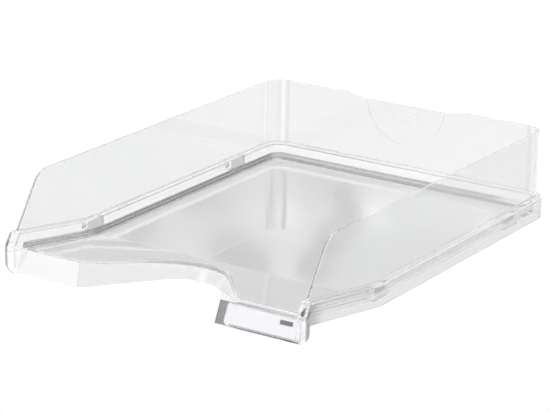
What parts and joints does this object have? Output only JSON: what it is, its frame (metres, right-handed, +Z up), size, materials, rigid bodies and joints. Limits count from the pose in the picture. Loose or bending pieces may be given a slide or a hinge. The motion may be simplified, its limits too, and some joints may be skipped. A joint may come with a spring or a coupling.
{
  "type": "letter tray",
  "caption": "Clear stackable desk tray for letter sheets, with a grip recess in its low front edge and a sliding label window beside it.",
  "frame": {"origin": "on the surface the tray stands on, under the middle of the whole object", "axes": "+X to the right seen from the front, +Y from the grip recess to the rear wall, +Z up"},
  "size_m": [0.255, 0.3506, 0.068],
  "materials": {
    "clear_moulding": "clear polished moulding",
    "clear_window": "clear polished moulding",
    "card_paper": "matt white card"
  },
  "bodies": {
    "tray": {"tray": "clear_moulding"},
    "label_holder": {"label_holder": "clear_window"},
    "label_card": {"label_card": "card_paper"}
  },
  "joints": [
    {"name": "label_holder_slide", "type": "slide", "parent": "tray", "child": "label_holder", "axis": [-1, 0, 0], "range_m": [0, 0.07]},
    {"name": "label_card_slide", "type": "slide", "parent": "label_holder", "child": "label_card", "axis": [-1, 0, 0], "range_m": [0, 0.06]}
  ]
}
